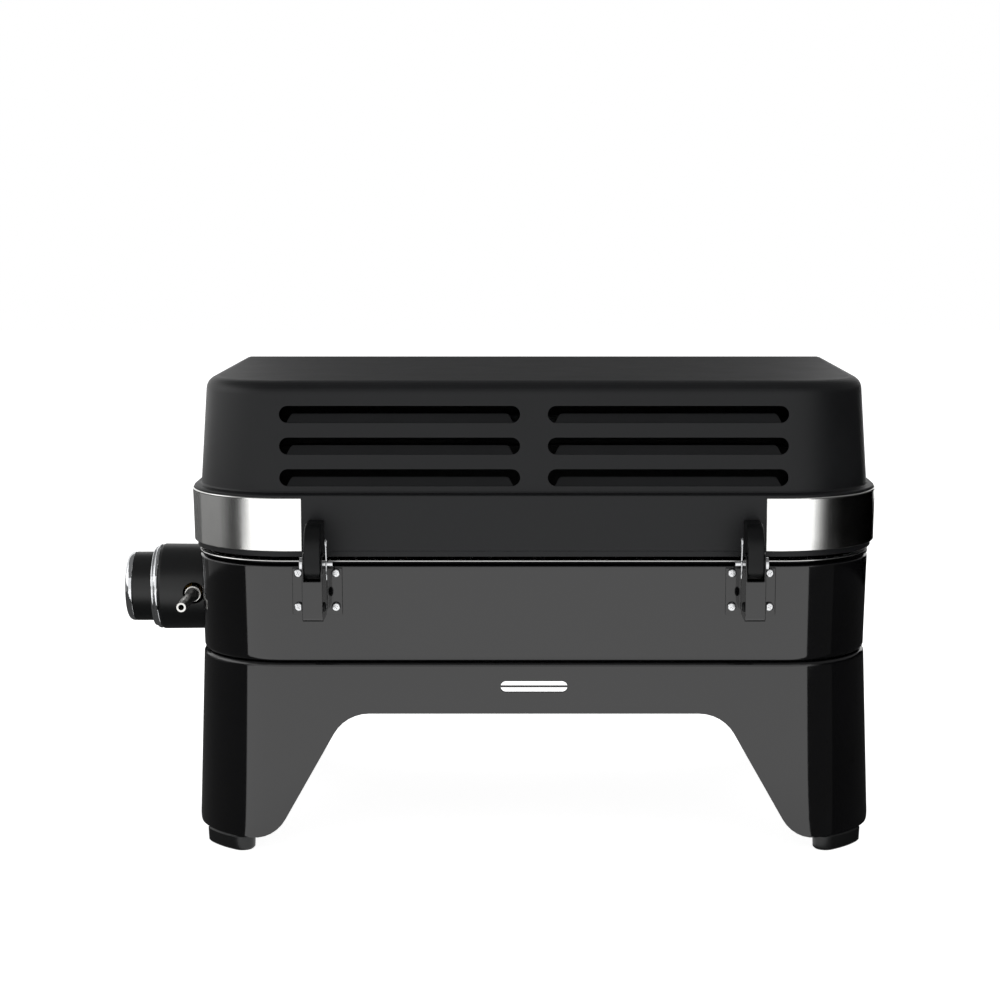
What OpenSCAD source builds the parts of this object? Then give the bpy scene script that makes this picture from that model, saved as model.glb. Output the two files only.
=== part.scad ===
// Portable gas barbecue with a hinged lid, drawn in millimetres.
// Ground is z = 0, the cook stands on the -Y side, the hinges are at +Y and the knob is at +X.

/* [Overall form] */
// Width across the trim band
band_w = 568; // [500:2:640]
// Depth across the trim band
band_d = 376; // [340:2:430]
// Corner radius in plan, at the trim band
corner_r = 84; // [70:1:100]
// Height of the flat lid top
top_z = 386.5; // [372:1:410]
// Distance of the lid's front ridge from the middle
ridge_y = 113; // [95:1:130]

/* [Levels] */
// Height of the feet
foot_h = 13; // [8:1:18]
// Crown of the leg arches
arch_z = 117; // [95:1:125]
// Seam between stand and firebox
seam_z = 158.7; // [150:0.1:165]
// Firebox rim
rim_z = 242; // [238:1:246]
// Lower edge of the trim band
band_lo = 251; // [249:0.5:254]
// Upper edge of the trim band
band_hi = 294.4; // [288:0.2:295]

/* [Sheet and details] */
// Lid wall
lid_t = 1.2; // [1:0.1:2]
// Firebox wall
box_t = 1.2; // [1:0.1:2]
// Stand wall
stand_t = 1.2; // [1:0.1:2]
// Thickness of the cooking grids
grid_h = 8; // [7:0.5:11]
// Fillet round the lid top
top_fillet = 11; // [8:1:16]
// Lid wall draft, degrees
lid_draft = 4.05; // [2:0.05:6]
// Open share of a vent row's height
slot_share = 0.5386; // [0.4:0.01:0.6]
// Distance of the hinges from the start of the corners
hinge_in = 25.8; // [24:0.1:40]
// Height of the hinge pins
pin_z = 245.5; // [245:0.1:247]
// Distance of the hinge pins behind the trim band
pin_back = 26; // [24:0.5:28]
// Knob and valve axis height
valve_z = 190; // [188:1:196]
// Knob radius
knob_r = 30.5; // [26:0.1:31]
// Handle grip length
grip_len = 290; // [240:2:330]

/* [Output] */
// Node to draw

$fn = 48;

// Derived places
hw = band_w / 2;
hd = band_d / 2;
hinge_x = hw - corner_r - hinge_in;
band_gap = hinge_x + 11.8;
loop_x = hw - 83;
core = 6;
inner = core - corner_r;
pin_y = hd + pin_back;
box_top = rim_z - 3;
trim_z = rim_z - 1.2;
box_draft = 0.024;
lip_z = band_lo - 4.6;
flare_z = band_hi + 1.2;
wall_z = flare_z + 7.4;
wall_in = 7.6;
lid_flange = 1.2;
slope_rise = top_z - wall_z;
slope_run = hd - wall_in - ridge_y;
slope_tilt = atan2(slope_rise, slope_run);
foot_pitch = corner_r - 10.8;
screw_in = 20;
ledge_z = rim_z - 13.5;
run_y = 70;
slot_lo = wall_z - 0.2;
slot_pitch = (top_z - 19.6 - slot_lo) / (2 + slot_share);
slot_h = slot_share * slot_pitch;
slot_end = hw - 80.2;
slot_start = 11.1;
slot_mid = (slot_end + slot_start) / 2;
slot_len = slot_end - slot_start;
post_x = grip_len / 2 - 40;
pill_z = seam_z - 19.3;

// Outer face of the firebox wall, as a distance inwards from the band outline
function box_in(z) = 5.5 + (box_top - z) * box_draft;
// Where the ledge for the grids meets the wall
ledge_in = box_in(ledge_z - 1) + box_t / 2;
// Outer face of the lid's lower flange, likewise
function flange_in(z) = 2 - 0.8 * (z - band_lo - 0.4) / (flare_z - band_lo - 0.4);
// Points on an arc, from angle a to angle b
function arc(c, r, a, b, n = 6) =
    [for (i = [0:n]) c + r * [cos(a + (b - a) * i / n), sin(a + (b - a) * i / n)]];
// Rounded rectangle outline
function rrect(w, d, r, n = 12) = concat(
    arc([w / 2 - r, d / 2 - r], r, 0, 90, n),
    arc([r - w / 2, d / 2 - r], r, 90, 180, n),
    arc([r - w / 2, r - d / 2], r, 180, 270, n),
    arc([w / 2 - r, r - d / 2], r, 270, 360, n));
// One corner of an outline rounded off between its neighbours
function rounded(p, q, s, r, n = 6) =
    let (u = (p - q) / norm(p - q))
    let (v = (s - q) / norm(s - q))
    let (h = acos(u * v) / 2)
    let (c = q + (u + v) / norm(u + v) * r / sin(h))
    let (a = q + u * r / tan(h) - c)
    let (b = q + v * r / tan(h) - c)
    let (t0 = atan2(a[1], a[0]))
    let (t1 = atan2(b[1], b[0]))
    let (dt = t1 - t0 > 180 ? t1 - t0 - 360 : t1 - t0 < -180 ? t1 - t0 + 360 : t1 - t0)
    arc(c, r, t0, t0 + dt, n);

// Extrudes a (Y, Z) outline along X, centred
module along_x(len) {
    translate([-len / 2, 0, 0])
        rotate([90, 0, 90])
            linear_extrude(len)
                children();
}

// Extrudes an (X, Z) outline along Y, centred
module along_y(len) {
    translate([0, len / 2, 0])
        rotate([90, 0, 0])
            linear_extrude(len)
                children();
}

// Round bar along X from x0 to x1
module bar_x(x0, x1, r, y = 0, z = 0) {
    translate([x0, y, z])
        rotate([0, 90, 0])
            cylinder(h = x1 - x0, r = r);
}

// Round bar along Y from y0 to y1
module bar_y(y0, y1, r, x = 0, z = 0) {
    translate([x, y1, z])
        rotate([90, 0, 0])
            cylinder(h = y1 - y0, r = r);
}

// Carries a profile round the band outline; its x runs outwards from that outline and its y is height
module around() {
    for (i = [0:3]) {
        w = i % 2 == 0 ? band_w : band_d;
        d = i % 2 == 0 ? band_d : band_w;
        rotate([0, 0, 90 * i])
            translate([w / 2 - corner_r, d / 2 - corner_r, 0])
                rotate_extrude(angle = 90)
                    translate([corner_r, 0])
                        children();
        rotate([0, 0, 90 * i])
            translate([w / 2, d / 2 - corner_r, 0])
                rotate([90, 0, 0])
                    linear_extrude(d - 2 * corner_r)
                        children();
    }
}

// Same as around(), filled to the middle between two levels; its profile starts at inner
module filled(z0, z1) {
    fill_w = band_w + 4 * core + 2 * inner;
    fill_d = band_d + 4 * core + 2 * inner;
    around()
        children();
    translate([-fill_w / 2, -fill_d / 2, z0])
        cube([fill_w, fill_d, z1 - z0]);
}

// Puts a child at the four plan corners, turned to face outwards
module at_corners() {
    for (i = [0:3]) {
        w = i % 2 == 0 ? hw : hd;
        d = i % 2 == 0 ? hd : hw;
        rotate([0, 0, 90 * i])
            translate([w - corner_r, d - corner_r, 0])
                children();
    }
}

// Outline of the opening under one side of the stand, whose half length is half
module arch_outline(half) {
    top = [half - 131, arch_z];
    low = [half - 72, foot_h];
    out = [half - 20, foot_h];
    right = concat([[0, arch_z]],
        rounded([0, arch_z], top, low, 33),
        rounded(top, low, out, 33),
        [[half - 52, foot_h - 30]]);
    polygon(concat(right, [[52 - half, foot_h - 30]],
        [for (i = [len(right) - 2:-1:1]) [-right[i][0], right[i][1]]]));
}

module leg_stand() {
    color("#1b1c1e")
        difference() {
            union() {
                around()
                    polygon(concat(
                        [[-1.2, foot_h]],
                        arc([-10, seam_z - 3.2], 3.2, 2, 90),
                        [[-28, seam_z], [-28, seam_z - stand_t], [-10, seam_z - stand_t]],
                        [[-6.9 - stand_t, seam_z - 3.4]],
                        [[-1.2 - stand_t, foot_h]]));
                at_corners()
                    rotate([0, 0, 18])
                        rotate_extrude(angle = 54)
                            translate([corner_r - 24, foot_h])
                                square([22, stand_t]);
            }
            along_y(band_d + 20)
                arch_outline(hw);
            along_x(band_w + 20)
                arch_outline(hd);
            for (s = [-1, 1])
                translate([0, 0, pill_z + s * 2.6])
                    along_y(2 * hd + 40)
                        pill_half(s);
            stand_holes(2.7);
            at_corners()
                rotate([0, 0, 45])
                    translate([foot_pitch, 0, foot_h - 2])
                        cylinder(h = 6, r = 2.1);
        }
}

// Half of the small pill slot, above or below its middle rib
module pill_half(s) {
    translate([0, -2.6 * s])
        difference() {
            union() {
                translate([-22.7, -4.3])
                    square([45.4, 8.6]);
                for (e = [-1, 1])
                    translate([22.7 * e, 0])
                        circle(r = 4.3);
            }
            translate([-40, s > 0 ? -10.75 : -0.75])
                square([80, 11.5]);
        }
}

// Holes of the screws between stand and firebox
module stand_holes(r) {
    stand_places()
        translate([0, 0, seam_z - 6])
            cylinder(h = 12, r = r);
}

module stand_places() {
    for (x = [-1, 1], y = [-1, 1])
        translate([x * (loop_x - 50), y * (hd - screw_in), 0])
            children();
    for (x = [-1, 1])
        translate([x * (hw - screw_in), 0, 0])
            children();
}

module stand_screws() {
    color("#b9bcc0")
        stand_places() {
            translate([0, 0, seam_z - stand_t - 3.5])
                cylinder(h = 3.5, r1 = 3.6, r2 = 4.6);
            translate([0, 0, seam_z - stand_t - 1])
                cylinder(h = stand_t + box_t + 6, r = 2.5);
            translate([0, 0, seam_z + box_t])
                cylinder(h = 3.6, r = 4.4, $fn = 6);
        }
}

// Outline of a foot's side, outwards from its middle line
foot_edge = [[8.3, 0], [9.8, 1.6], [10.3, foot_h - 1.4], [8.9, foot_h]];

// A foot hugs its corner: turn is the quarter it stands in
module foot(turn) {
    w = turn % 2 == 0 ? hw : hd;
    d = turn % 2 == 0 ? hd : hw;
    color("#26272a")
        rotate([0, 0, 90 * turn])
            translate([w - corner_r, d - corner_r, 0])
                difference() {
                    union() {
                        rotate([0, 0, 33])
                            rotate_extrude(angle = 24)
                                translate([foot_pitch, 0])
                                    polygon(concat([for (q = foot_edge) [-q[0], q[1]]],
                                        [for (i = [len(foot_edge) - 1:-1:0]) foot_edge[i]]));
                        for (a = [33, 57])
                            rotate([0, 0, a])
                                translate([foot_pitch, 0, 0])
                                    rotate_extrude()
                                        polygon(concat([[0, 0]], foot_edge, [[0, foot_h]]));
                    }
                    rotate([0, 0, 45])
                        translate([foot_pitch, 0, -1])
                            cylinder(h = 20, r = 2.3);
                    rotate([0, 0, 45])
                        translate([foot_pitch, 0, -1])
                            cylinder(h = 7, r = 5);
                }
}

module foot_rear_right() {
    foot(0);
}

module foot_rear_left() {
    foot(1);
}

module foot_front_left() {
    foot(2);
}

module foot_front_right() {
    foot(3);
}

module foot_screws() {
    color("#b9bcc0")
        at_corners()
            rotate([0, 0, 45])
                translate([foot_pitch, 0, 0]) {
                    translate([0, 0, 3.2])
                        cylinder(h = 2.8, r1 = 3.4, r2 = 4.6);
                    translate([0, 0, 5])
                        cylinder(h = foot_h, r = 2);
                }
}

// Firebox
module firebox() {
    color("#17181a")
        difference() {
            union() {
                difference() {
                    filled(seam_z, trim_z)
                        polygon(concat([[inner, seam_z], [-12.4, seam_z]],
                            arc([-12.4, seam_z + 5], 5, -84, -2),
                            [[-box_in(box_top - 1.2), box_top - 1.2], [-9, box_top + 1.6]],
                            [[-9, trim_z], [inner, trim_z]]));
                    filled(seam_z + box_t, rim_z + 2)
                        polygon(concat([[inner, seam_z + box_t], [-12.4, seam_z + box_t]],
                            arc([-12.4, seam_z + 5], 5 - box_t, -84, -2),
                            [[-box_in(box_top - 1.8) - box_t, box_top - 1.8], [-9 - box_t, box_top + 1]],
                            [[-9 - box_t, rim_z + 2], [inner, rim_z + 2]]));
                }
                around()
                    polygon([[-ledge_in, ledge_z - 1.6], [-ledge_in, ledge_z], [-22, ledge_z],
                        [-22, ledge_z - 1.6]]);
            }
            stand_holes(2.7);
            hinge_screw_places()
                bar_y(hd - 20, hd + 4, 2.3);
            bar_x(hw - 20, hw + 4, 11.5, 0, valve_z);
            bar_x(hw - 20, hw + 4, 3.8, 26, valve_z + 7);
            housing_screw_places()
                bar_x(hw - 20, hw + 4, 2.2);
        }
}

module rim_trim() {
    color("#c9ccd0")
        around()
            polygon([[-5.3, trim_z], [-5.1, trim_z + 1], [-5.3, trim_z + 2], [-11.5, trim_z + 2],
                [-11.5, trim_z]]);
}

module grease_tray() {
    color("#a9acb0")
        translate([0, 0, seam_z + box_t])
            difference() {
                linear_extrude(14)
                    polygon(rrect(band_w - 80, band_d - 80, corner_r - 40));
                translate([0, 0, 1.2])
                    linear_extrude(20)
                        polygon(rrect(band_w - 82.4, band_d - 82.4, corner_r - 41.2));
            }
}

// Burner loop: a closed ring of tube, filled with radius r
module tube_ring(r) {
    for (i = [0:3]) {
        x = i % 2 == 0 ? loop_x : run_y;
        y = i % 2 == 0 ? run_y : loop_x;
        rotate([0, 0, 90 * i]) {
            translate([x - 30, y - 30, 0])
                rotate_extrude(angle = 90)
                    translate([30, 0])
                        circle(r = r);
            bar_y(30 - y, y - 30, r, x);
        }
    }
}

module burner_loop() {
    color("#b4b2ad")
        translate([0, 0, valve_z])
            difference() {
                union() {
                    tube_ring(9);
                    bar_x(loop_x, hw, 11);
                    translate([-loop_x - 62, -9, -2])
                        cube([60, 18, 3]);
                }
                tube_ring(7.9);
                bar_x(loop_x, hw + 1, 10);
                for (x = [50 - loop_x:25:loop_x - 49.9], s = [-1, 1])
                    bar_y(s > 0 ? run_y : -run_y - 12, s > 0 ? run_y + 12 : -run_y, 1.1, x);
            }
}

module burner_rest() {
    color("#8d8f92")
        translate([-(hw - box_in(valve_z) - box_t - 0.9), -16, valve_z - 3.4])
            union() {
                cube([1.4, 32, 16]);
                cube([22, 32, 1.4]);
            }
}

// Rail along an end wall; s is the side
module tamer_rail(s) {
    x1 = hw - box_in(valve_z + 17) - box_t - 0.7;
    color("#8d8f92")
        mirror([s < 0 ? 1 : 0, 0, 0])
            union() {
                translate([x1 - 1.4, -run_y - 32, valve_z + 16])
                    cube([1.4, 2 * run_y + 64, 7.5]);
                translate([x1 - 30, -run_y - 32, valve_z + 15.6])
                    cube([30, 2 * run_y + 64, 1.4]);
            }
}

module tamer_rail_left() {
    tamer_rail(-1);
}

module tamer_rail_right() {
    tamer_rail(1);
}

module flame_tamer(y) {
    z0 = valve_z + 17;
    color("#7d7a76")
        along_x(2 * hw - 50)
            polygon([[y - 34, z0], [y, z0 + 15], [y + 34, z0], [y + 31, z0], [y, z0 + 13.6], [y - 31, z0]]);
}

module flame_tamer_front() {
    flame_tamer(-run_y);
}

module flame_tamer_rear() {
    flame_tamer(run_y);
}

// Cooking grid half on side s
module grid(s) {
    w = hw - 13.5;
    d = hd - 13.5;
    r = corner_r - 13.5;
    color("#2b2a29")
        translate([0, 0, ledge_z])
            linear_extrude(grid_h)
                intersection() {
                    difference() {
                        polygon(rrect(2 * w, 2 * d, r));
                        for (x = [14:16:w - 16])
                            for (t = [-1, 1])
                                translate([s * x, t * (5 + grid_reach(x + 5, w, d, r) / 2)])
                                    square([10, grid_reach(x + 5, w, d, r)], center = true);
                    }
                    translate([s > 0 ? 0.6 : -w - 1, -d - 1])
                        square([w + 0.4, 2 * d + 2]);
                }
}

// How far a slot of the grid runs from the middle rib
function grid_reach(x, w, d, r) = (x > w - r ? d - r + sqrt(r * r - pow(x - w + r, 2)) : d) - 16;

module grid_left() {
    grid(-1);
}

module grid_right() {
    grid(1);
}

module electrode_sleeve() {
    color("#e4e0d6")
        difference() {
            bar_x(loop_x + 22, hw + 3, 3.6, 26, valve_z + 7);
            bar_x(loop_x + 20, hw + 5, 1.2, 26, valve_z + 7);
        }
}

module electrode_wire() {
    color("#c2c3c5")
        bar_x(loop_x + 11, hw + 6.5, 1.1, 26, valve_z + 7);
}

// Valve housing and what it holds; a profile is (radius, distance out from the end wall)
module turned(x0) {
    translate([x0, 0, valve_z])
        rotate([0, 90, 0])
            rotate_extrude($fn = 96)
                children();
}

module housing_screw_places() {
    for (a = [90, 210, 330])
        translate([0, 29 * cos(a), valve_z + 29 * sin(a)])
            children();
}

module valve_housing() {
    x0 = hw - 5.3;
    color("#202124")
        difference() {
            union() {
                turned(x0)
                    polygon([[35, 0], [38.8, 0], [38.9, 1.4], [37.4, 2.2], [37.8, 47.9], [37.3, 49.3],
                        [36.4, 49.7], [31.8, 49.7], [31.8, 44.2], [6, 44.2], [6, 41.4], [35, 41.4]]);
                housing_screw_places()
                    bar_x(x0, x0 + 42, 5);
            }
            housing_screw_places()
                bar_x(x0 - 1, x0 + 18, 2);
            bar_y(20, 50, 9.4, hw + 13, valve_z);
        }
}

module housing_screws() {
    x0 = hw - 5.3;
    color("#b9bcc0")
        housing_screw_places() {
            bar_x(x0 - box_t - 5, x0 - box_t - 2.2, 3.8);
            bar_x(x0 - 5, x0 + 14, 1.9);
        }
}

module housing_bezel() {
    color("#d4d7da")
        turned(hw + 44.5)
            polygon(concat([[31.8, 0], [36, 0]], arc([34.9, 1.9], 2.3, -56, 76, 10),
                arc([33.7, 5.4], 1.5, -30, 130, 10), [[31.8, 6]]));
}

module gas_valve() {
    color("#b08d4c")
        difference() {
            union() {
                bar_x(hw + 7, hw + 30, 13, 0, valve_z);
                bar_x(hw + 28, hw + 36, 17, 0, valve_z);
                bar_y(0, 34, 5.9, hw + 13, valve_z);
            }
            bar_x(hw + 14.6, hw + 37, 4.1, 0, valve_z);
            bar_x(hw + 20, hw + 37, 8.6, 0, valve_z);
            bar_y(14, 36, 3, hw + 13, valve_z);
            bar_x(hw + 5, hw + 13, 2, 0, valve_z);
        }
}

module injector() {
    color("#c39a4f")
        difference() {
            union() {
                bar_x(hw - 9, hw + 6.9, 3.4, 0, valve_z);
                translate([hw + 1, 0, valve_z])
                    rotate([0, 90, 0])
                        cylinder(h = 5.9, r = 5.4, $fn = 6);
            }
            bar_x(hw - 10, hw + 8, 0.6, 0, valve_z);
        }
}

// Ribbed inlet that points backwards
module hose_tail() {
    color("#cfccc4")
        translate([hw + 13, 0, valve_z])
            rotate([-90, 0, 0])
                difference() {
                    union() {
                        translate([0, 0, 34])
                            cylinder(h = 8, r = 6.8);
                        rotate_extrude()
                            polygon([[0, 41], [6.2, 41], [6, 47], [4, 57], [4, 66], [4.7, 66], [4, 72],
                                [4, 73], [4.7, 73], [4, 79], [4, 80], [4.7, 80], [4, 86], [4, 87],
                                [4.7, 87], [4, 93], [4, 105], [0, 105]]);
                    }
                    translate([0, 0, 33])
                        cylinder(h = 80, r = 2.4);
                }
}

module return_spring() {
    turns = 3;
    steps = 20;
    n = 8;
    color("#9a9da1")
        translate([hw + 20.1, 0, valve_z])
            rotate([0, 90, 0])
                skin([for (i = [0:turns * steps], k = [0:n - 1])
                    let (a = 360 * i / steps)
                    let (q = 6.3 + 0.65 * cos(360 * k / n))
                    [q * cos(a), q * sin(a), 0.7 + 1.6 * i / steps - 0.65 * sin(360 * k / n)]], n);
}

module stem_collar() {
    color("#8b8e93")
        turned(hw + 30.2)
            polygon([[4.06, 0], [7.6, 0], [7.6, 2.6], [4.06, 2.6]]);
}

module valve_stem() {
    color("#a6a9ad")
        difference() {
            union() {
                bar_x(hw + 18, hw + 62, 4, 0, valve_z);
                bar_x(hw + 33.1, hw + 35.8, 6.4, 0, valve_z);
            }
            translate([hw + 46, -5, valve_z + 2.6])
                cube([20, 10, 5]);
        }
}

module control_knob() {
    color("#222326")
        difference() {
            union() {
                turned(hw + 42.4)
                    polygon([[0, 0], [knob_r - 1.2, 0], [knob_r, 1.4], [knob_r, 25.6], [knob_r - 5, 26],
                        [knob_r - 5, 28.8], [0, 28.8]]);
                translate([hw + 70.2, -knob_r + 7, valve_z - 6])
                    cube([4, 2 * knob_r - 14, 12]);
            }
            bar_x(hw + 40, hw + 62.4, 4.08, 0, valve_z);
        }
}

module knob_ring() {
    color("#d4d7da")
        turned(hw + 42.4)
            polygon(concat([[knob_r - 4.9, 26.2]], arc([knob_r - 0.7, 26.7], 0.7, -80, 0, 3),
                arc([knob_r - 5, 27.4], 5, 4, 74, 10), arc([knob_r - 4.1, 31.4], 0.8, 90, 180, 3)));
}

// Hinges
module hinge_screw_places() {
    for (x = [-1, 1], dx = [-15, 15], z = [rim_z - 36.3, rim_z - 8.8])
        translate([x * hinge_x + dx, 0, z])
            children();
}

// Puts a hinge piece, drawn for the +X hinge about x = 0, on side s
module at_hinge(s) {
    mirror([s < 0 ? 1 : 0, 0, 0])
        translate([hinge_x, 0, 0])
            children();
}

module hinge_bracket(s) {
    y0 = hd - box_in(rim_z - 43);
    flange_top = rim_z - 5;
    y1 = hd - box_in(flange_top);
    color("#1e1f21")
        at_hinge(s)
            difference() {
                union() {
                    for (u = [-7.4, 7.4])
                        translate([u, 0, 0])
                            along_x(1.2)
                                polygon(concat([[y0 + 0.4, pin_z - 42], [y1 + 0.4, flange_top]],
                                    arc([pin_y, pin_z], 9, 150, 0, 10),
                                    [[pin_y + 11.2, pin_z - 12.6], [pin_y + 11.2, pin_z - 38]],
                                    arc([pin_y + 4.2, pin_z - 38.5], 7, 0, -90),
                                    [[pin_y - 14, pin_z - 45]]));
                    along_x(16)
                        polygon(concat([[pin_y + 10, pin_z - 12.6], [pin_y + 11.2, pin_z - 12.6]],
                            arc([pin_y + 4.2, pin_z - 38.5], 7, 0, -90),
                            arc([pin_y + 4.2, pin_z - 38.5], 5.8, -90, 0)));
                    for (u = [-13.5, 13.5])
                        translate([u, 0, 0])
                            along_x(13.2)
                                polygon([[y0 + 0.15, rim_z - 43], [y1 + 0.15, flange_top],
                                    [y1 + 1.65, flange_top], [y0 + 1.65, rim_z - 43]]);
                }
                bar_x(-20, 20, 2.1, pin_y, pin_z);
                bar_x(-20, 20, 2.1, pin_y, pin_z - 34.5);
                for (dx = [-15, 15], z = [rim_z - 36.3, rim_z - 8.8])
                    bar_y(hd - 20, hd + 4, 2.3, dx, z);
            }
}

module hinge_bracket_left() {
    hinge_bracket(-1);
}

module hinge_bracket_right() {
    hinge_bracket(1);
}

module hinge_pin(s) {
    color("#c6c9cc")
        at_hinge(s)
            difference() {
                union() {
                    bar_x(-15.4, 9, 2, pin_y, pin_z);
                    bar_x(8.3, 10.6, 5, pin_y, pin_z);
                }
                translate([-10.4, pin_y, pin_z - 5])
                    cylinder(h = 10, r = 0.95);
            }
}

module hinge_pin_left() {
    hinge_pin(-1);
}

module hinge_pin_right() {
    hinge_pin(1);
}

// Closed skin over a row of rings of n points each
module skin(points, n) {
    m = len(points) / n - 1;
    side = [for (i = [0:m - 1], k = [0:n - 1])
        [i * n + k, i * n + (k + 1) % n, (i + 1) * n + (k + 1) % n, (i + 1) * n + k]];
    polyhedron(points = points, faces = concat(side, [[for (k = [n - 1:-1:0]) k]],
        [[for (k = [0:n - 1]) m * n + k]]), convexity = 8);
}

// Round wire of radius r along a plane path
module wire(path, r, n = 12) {
    m = len(path) - 1;
    skin([for (i = [0:m])
        let (t = path[min(i + 1, m)] - path[max(i - 1, 0)])
        let (u = [-t[1], t[0]] / norm(t))
        for (k = [0:n - 1])
            let (q = path[i] + r * cos(360 * k / n) * u)
            [r * sin(360 * k / n), q[0], q[1]]], n);
}

// Spring clip: its straight leg goes through the pin and its waved leg hugs the pin
// lift is how far it stands up
module hinge_clip(s, lift) {
    color("#d0d2d4")
        at_hinge(s)
            translate([-10.4, pin_y, pin_z])
                wire(concat([[0, lift - 17], [0, 0]],
                    arc([3.2, lift + 13], 3.2, 180, -50, 14),
                    arc([0, 0], 3.25, 50, -50, 7),
                    [[2.6, -5.4], [4.4, -8.4]]), 0.75);
}

module hinge_clip_left() {
    hinge_clip(-1, 5);
}

module hinge_clip_right() {
    hinge_clip(1, 4);
}

module hinge_rivets() {
    color("#8f9296")
        for (s = [-1, 1])
            at_hinge(s)
                translate([0, pin_y, pin_z - 34.5])
                    rotate([0, 90, 0])
                        rotate_extrude()
                            polygon([[0, -10], [2.4, -9.8], [3.6, -9], [4, -8.1], [2, -8.1], [2, 8.1],
                                [4, 8.1], [3.6, 9], [2.4, 9.8], [0, 10]]);
}

module hinge_screws() {
    y0 = hd - 5.5;
    color("#d0d2d4")
        hinge_screw_places() {
            translate([0, y0 + 1.9, 0])
                difference() {
                    rotate([-90, 0, 0])
                        rotate_extrude()
                            polygon(concat([[0, -1], [2, -1], [2, 0]],
                                arc([1.9, 0.5], 1.7, -16, 70, 6), [[0, 2.3]]));
                    for (a = [25, 115])
                        rotate([0, a, 0])
                            translate([-1.7, 1.1, -0.35])
                                cube([3.4, 2, 0.7]);
                }
            bar_y(y0 - 7.4, y0 + 2, 2);
            translate([0, y0 - box_t - 1.4, 0])
                rotate([90, 0, 0])
                    cylinder(h = 3.2, r = 3.7, $fn = 6);
        }
}

module hinge_arm(s) {
    color("#2a2b2e")
        at_hinge(s)
            difference() {
                along_x(13)
                    polygon(concat([for (z = [11, 31]) [hd - flange_in(pin_z + z), pin_z + z]],
                        arc([pin_y - 8, pin_z + 11], 20, 90, 0, 10),
                        arc([pin_y, pin_z], 12, 0, -180, 16),
                        arc([pin_y - 20, pin_z + 3], 8, 0, 90, 6)));
                bar_x(-10, 10, 2.06, pin_y, pin_z);
                for (z = [16.5, 24.5])
                    bar_y(hd - 5, hd + 13, 2.1, 0, pin_z + z);
            }
}

module hinge_arm_left() {
    hinge_arm(-1);
}

module hinge_arm_right() {
    hinge_arm(1);
}

module arm_screws() {
    color("#b9bcc0")
        for (s = [-1, 1], z = [16.5, 24.5])
            at_hinge(s)
                translate([0, hd - flange_in(pin_z + z) - lid_t, pin_z + z]) {
                    bar_y(-2.8, -0.15, 3.6);
                    bar_y(-1, 13, 2);
                }
}

// Lid
// Lid profile, moved inwards by t
function lid_profile(t, z0) =
    let (x0 = -wall_in - t / cos(lid_draft))
    let (zc = top_z - top_fillet)
    let (xc = -wall_in + ((wall_z - zc) * sin(lid_draft) - top_fillet) / cos(lid_draft))
    concat([[inner, z0], [-3.4 - t, z0], [-3.4 - t, band_lo - 0.3], [-2 - t, band_lo + 0.4]],
        [[-lid_flange - t, flare_z - t / 2], [-lid_flange - 0.3 - t, flare_z + 0.6 - t]],
        [[-lid_flange - 0.9 - t, flare_z + 1 - t], [1.7 - wall_in - t, flare_z + 1.5 - t]],
        [[0.8 - wall_in - t, flare_z + 1.9 - t]],
        [[x0 + (wall_z - flare_z - 3.2) * tan(lid_draft), flare_z + 3.2 - t / 2]],
        arc([xc, zc], top_fillet - t, lid_draft, 90, 8),
        [[inner, top_z - t]]);

// What the sloped front and its ridge take away, moved inwards by t
module front_cut(t) {
    p = [-ridge_y, top_z] + t * [tan(slope_tilt / 2), -1];
    u = [-cos(slope_tilt), -sin(slope_tilt)];
    end = p + (p[1] - wall_z + 2) / sin(slope_tilt) * u;
    along_x(band_w + 60)
        polygon(concat([p + [60, 60], p + [20, 0.4]],
            rounded(p + [30, 0], p, p + 90 * u, 14 - t, 6),
            [end, [p[0] - 170, end[1]], p + [-170, 60]]));
}

module lid_solid(t, z0) {
    difference() {
        filled(z0, top_z - t)
            polygon(lid_profile(t, z0));
        front_cut(t);
    }
}

// Rear wall of the lid at a height
function lid_y(z) = hd - wall_in - (z - wall_z) * tan(lid_draft);

module lid_shell() {
    rows = [for (i = [0:2]) slot_lo + i * slot_pitch];
    flap_rise = 0.5 * slot_h;
    color("#2c2d2f")
        union() {
            difference() {
                lid_solid(0, lip_z);
                lid_solid(lid_t, lip_z - 2);
                for (z = rows, s = [-1, 1])
                    translate([s * slot_mid, hd, z + slot_h / 2])
                        along_y(60)
                            slot_outline();
                for (s = [-1, 1], z = [16.5, 24.5])
                    at_hinge(s)
                        bar_y(hd - 12, hd + 2, 2.2, 0, pin_z + z);
                handle_holes(2.7);
            }
            for (z = rows, s = [-1, 1])
                translate([s * slot_mid, 0, 0])
                    intersection() {
                        along_x(slot_len)
                            polygon([[lid_y(z) - lid_t / 2, z - 1.6], [lid_y(z) - lid_t - 0.4, z - 1.6],
                                [lid_y(z) - 6.4, z + flap_rise - 0.3],
                                [lid_y(z) - 5.2, z + flap_rise + 0.3]]);
                        along_y(2 * hd)
                            flap_outline(z, flap_rise);
                    }
        }
}

// Flap of a vent, seen from behind: its ends lean in and its top corners are round
module flap_outline(z, rise) {
    low = slot_len / 2 - 4.5;
    top = slot_len / 2 - 9.5;
    right = rounded([0, z + rise + 0.3], [top, z + rise + 0.3], [low, z - 2], 4);
    polygon(concat(right, [[low, z - 2], [-low, z - 2]],
        [for (i = [len(right) - 1:-1:0]) [-right[i][0], right[i][1]]]));
}

module slot_outline() {
    half = slot_len / 2;
    union() {
        square([2 * half - slot_h, slot_h], center = true);
        for (e = [-1, 1])
            translate([e * (half - slot_h / 2), 0])
                circle(r = slot_h / 2);
    }
}

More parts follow.
